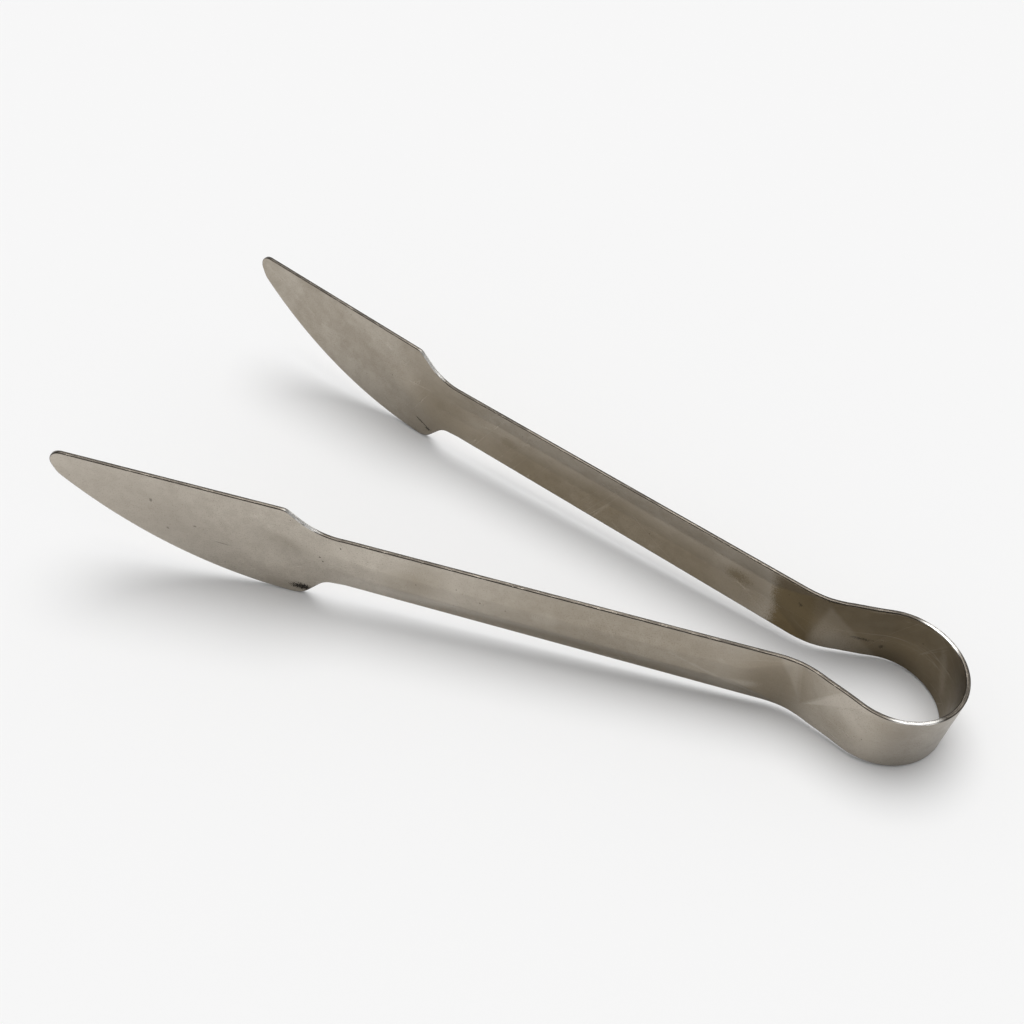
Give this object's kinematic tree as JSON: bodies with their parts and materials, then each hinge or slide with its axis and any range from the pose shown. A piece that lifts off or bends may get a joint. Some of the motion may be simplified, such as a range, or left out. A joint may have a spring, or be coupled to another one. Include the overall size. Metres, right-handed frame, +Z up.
{
  "type": "ice tongs",
  "caption": "Sprung tongs bent from a single strip of stainless steel: a round bow, two channelled arms and flat paddle-shaped blades that close flat against each other.",
  "frame": {"origin": "under the middle of the bounding box, on the surface that the tongs rest on", "axes": "+X from the bow to the blades, +Y towards the left jaw, +Z up; the tongs rest on edge, on the bow's lower edge and both heels, so the strip leans back by the angle that the heels' drop gives"},
  "size_m": [0.2416, 0.104, 0.0385],
  "materials": {
    "stainless_strip": "tumbled satin stainless steel, lightly stained"
  },
  "bodies": {
    "bow_crown": {"bow_crown": "stainless_strip"},
    "left_bow_1": {"left_bow_link_1": "stainless_strip"},
    "left_bow_2": {"left_bow_link_2": "stainless_strip"},
    "left_bow_3": {"left_bow_link_3": "stainless_strip"},
    "left_jaw": {"left_throat": "stainless_strip", "left_arm": "stainless_strip", "left_blade": "stainless_strip"},
    "right_bow_1": {"right_bow_link_1": "stainless_strip"},
    "right_bow_2": {"right_bow_link_2": "stainless_strip"},
    "right_bow_3": {"right_bow_link_3": "stainless_strip"},
    "right_jaw": {"right_throat": "stainless_strip", "right_arm": "stainless_strip", "right_blade": "stainless_strip"}
  },
  "joints": [
    {"name": "left_squeeze", "type": "hinge", "parent": "bow_crown", "child": "left_jaw", "pos_m": [-0.10942, 0.01089, 0.01025], "axis": [0.0467, 0, -0.9989], "range_deg": [0, 12.4], "stiffness_Nm_per_rad": 13.47},
    {"name": "left_bow_flex_1", "type": "hinge", "parent": "bow_crown", "child": "left_bow_1", "pos_m": [-0.11719, 0.0048, 0.00989], "axis": [0.0467, 0, -0.9989], "range_deg": [0, 3.65]},
    {"name": "left_bow_flex_2", "type": "hinge", "parent": "bow_crown", "child": "left_bow_2", "pos_m": [-0.11514, 0.00791, 0.00998], "axis": [0.0467, 0, -0.9989], "range_deg": [0, 6.93]},
    {"name": "left_bow_flex_3", "type": "hinge", "parent": "bow_crown", "child": "left_bow_3", "pos_m": [-0.11238, 0.00998, 0.01011], "axis": [0.0467, 0, -0.9989], "range_deg": [0, 9.85]},
    {"name": "right_squeeze", "type": "hinge", "parent": "bow_crown", "child": "right_jaw", "pos_m": [-0.10942, -0.01089, 0.01025], "axis": [-0.0467, 0, 0.9989], "range_deg": [0, 12.4], "stiffness_Nm_per_rad": 13.47},
    {"name": "right_bow_flex_1", "type": "hinge", "parent": "bow_crown", "child": "right_bow_1", "pos_m": [-0.11719, -0.0048, 0.00989], "axis": [-0.0467, 0, 0.9989], "range_deg": [0, 3.65]},
    {"name": "right_bow_flex_2", "type": "hinge", "parent": "bow_crown", "child": "right_bow_2", "pos_m": [-0.11514, -0.00791, 0.00998], "axis": [-0.0467, 0, 0.9989], "range_deg": [0, 6.93]},
    {"name": "right_bow_flex_3", "type": "hinge", "parent": "bow_crown", "child": "right_bow_3", "pos_m": [-0.11238, -0.00998, 0.01011], "axis": [-0.0467, 0, 0.9989], "range_deg": [0, 9.85]}
  ],
  "couplings": [
    {"joint": "left_bow_flex_1", "follows": "left_squeeze", "ratio": 0.29412},
    {"joint": "left_bow_flex_2", "follows": "left_squeeze", "ratio": 0.55882},
    {"joint": "left_bow_flex_3", "follows": "left_squeeze", "ratio": 0.79412},
    {"joint": "right_bow_flex_1", "follows": "right_squeeze", "ratio": 0.29412},
    {"joint": "right_bow_flex_2", "follows": "right_squeeze", "ratio": 0.55882},
    {"joint": "right_bow_flex_3", "follows": "right_squeeze", "ratio": 0.79412}
  ]
}
